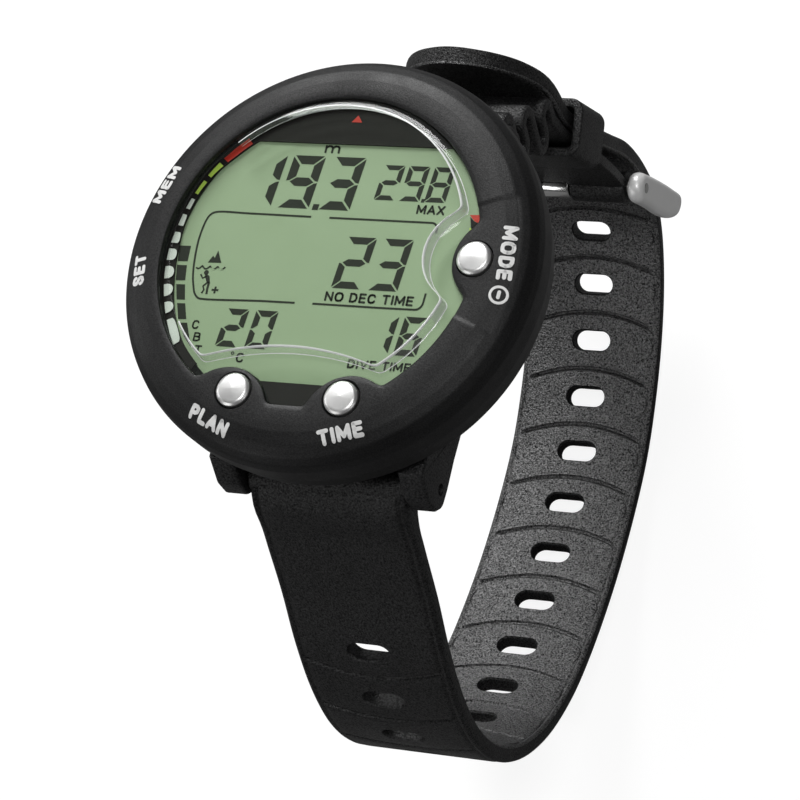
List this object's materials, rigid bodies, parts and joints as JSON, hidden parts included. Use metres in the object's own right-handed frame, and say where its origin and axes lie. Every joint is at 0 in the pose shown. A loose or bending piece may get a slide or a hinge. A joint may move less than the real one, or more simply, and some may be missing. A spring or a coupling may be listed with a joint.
{
  "type": "wrist dive computer",
  "caption": "Round wrist dive computer with a segment display under a clear window, push buttons, an elastomer boot, a back battery hatch and a buckled strap with a bellows section.",
  "frame": {"origin": "on the case axis, at the outer face of the battery cover, which is the back of the case that rests on the wrist", "axes": "+Z points out of the display, +Y to the 12 o'clock strap lugs, +X to the mode button at 3 o'clock"},
  "size_m": [0.0662, 0.1163, 0.1236],
  "materials": {
    "case_plastic": "grainy moulded black plastic",
    "boot_rubber": "satin charcoal elastomer",
    "strap_rubber": "fine-grained black elastomer",
    "clear_window": "polished clear moulding",
    "display_glass": "grey-green segment display behind glass",
    "dial_print": "dark printed mask",
    "button_steel": "bright satin steel",
    "buckle_steel": "satin stainless steel",
    "steel": "plain steel",
    "spring_steel": "spring steel",
    "seal_rubber": "black seal rubber",
    "board_laminate": "green board with solder resist",
    "chip_resin": "black moulding resin",
    "brass": "rolled brass",
    "white_plastic": "white diffuser plastic"
  },
  "bodies": {
    "case": {"case_body": "case_plastic", "protective_boot": "boot_rubber", "display_window": "clear_window", "window_gasket": "seal_rubber", "dial_mask": "dial_print", "lcd_panel": "display_glass", "backlight_panel": "white_plastic", "lcd_carrier": "white_plastic", "upper_connector_strip": "seal_rubber", "lower_connector_strip": "seal_rubber", "circuit_board": "board_laminate", "processor_chip": "chip_resin", "board_screw_1": "steel", "board_screw_2": "steel", "board_screw_3": "steel", "pressure_sensor": "steel", "sensor_seal": "seal_rubber", "water_contact": "steel", "piezo_buzzer": "brass", "battery": "steel", "battery_contact_negative": "brass", "battery_contact_positive": "brass", "mode_button_spring": "spring_steel", "mode_button_seal": "seal_rubber", "mode_switch": "steel", "time_button_spring": "spring_steel", "time_button_seal": "seal_rubber", "time_switch": "steel", "plan_button_spring": "spring_steel", "plan_button_seal": "seal_rubber", "plan_switch": "steel", "spring_bar_12_oclock": "spring_steel", "spring_bar_6_oclock": "spring_steel"},
    "mode_button": {"mode_button": "button_steel", "mode_button_clip": "spring_steel"},
    "time_button": {"time_button": "button_steel", "time_button_clip": "spring_steel"},
    "plan_button": {"plan_button": "button_steel", "plan_button_clip": "spring_steel"},
    "battery_cover": {"battery_cover": "case_plastic", "battery_cover_seal": "seal_rubber"},
    "lock_ring": {"battery_lock_ring": "case_plastic"},
    "long_strap": {"long_strap": "strap_rubber"},
    "short_strap": {"short_strap": "strap_rubber", "buckle_bar": "spring_steel"},
    "strap_keeper": {"strap_keeper": "strap_rubber"},
    "buckle_frame": {"buckle_frame": "buckle_steel"},
    "buckle_tongue": {"buckle_tongue": "buckle_steel"}
  },
  "joints": [
    {"name": "mode_button_press", "type": "slide", "parent": "case", "child": "mode_button", "axis": [0, 0, -1], "range_m": [0, 0.0009], "stiffness_N_per_m": 900, "springref_m": -0.0006, "deforming": ["mode_button_spring"]},
    {"name": "time_button_press", "type": "slide", "parent": "case", "child": "time_button", "axis": [0, 0, -1], "range_m": [0, 0.0009], "stiffness_N_per_m": 900, "springref_m": -0.0006, "deforming": ["time_button_spring"]},
    {"name": "plan_button_press", "type": "slide", "parent": "case", "child": "plan_button", "axis": [0, 0, -1], "range_m": [0, 0.0009], "stiffness_N_per_m": 900, "springref_m": -0.0006, "deforming": ["plan_button_spring"]},
    {"name": "battery_cover_lift", "type": "slide", "parent": "case", "child": "battery_cover", "axis": [0, 0, -1], "range_m": [0, 0.008]},
    {"name": "lock_ring_turn", "type": "hinge", "parent": "battery_cover", "child": "lock_ring", "pos_m": [0, 0, 0], "axis": [0, 0, -1], "range_deg": [0, 30]},
    {"name": "long_strap_swing", "type": "hinge", "parent": "case", "child": "long_strap", "pos_m": [0, -0.0277, 0.0049], "axis": [1, 0, 0], "range_deg": [0, 1]},
    {"name": "short_strap_swing", "type": "hinge", "parent": "case", "child": "short_strap", "pos_m": [0, 0.0277, 0.0049], "axis": [1, 0, 0], "range_deg": [0, 1.4]},
    {"name": "keeper_slide", "type": "slide", "parent": "short_strap", "child": "strap_keeper", "axis": [0, 0.2706, -0.9627], "range_m": [-0.0006, 0.003]},
    {"name": "buckle_frame_pivot", "type": "hinge", "parent": "short_strap", "child": "buckle_frame", "pos_m": [0, 0.0522, -0.0575], "axis": [1, 0, 0], "range_deg": [0, 1]},
    {"name": "buckle_tongue_pivot", "type": "hinge", "parent": "buckle_frame", "child": "buckle_tongue", "pos_m": [0, 0.0522, -0.0575], "axis": [1, 0, 0], "range_deg": [0, 1]}
  ],
  "couplings": [
    {"joint": "short_strap_swing", "follows": "long_strap_swing", "ratio": 1.373}
  ]
}
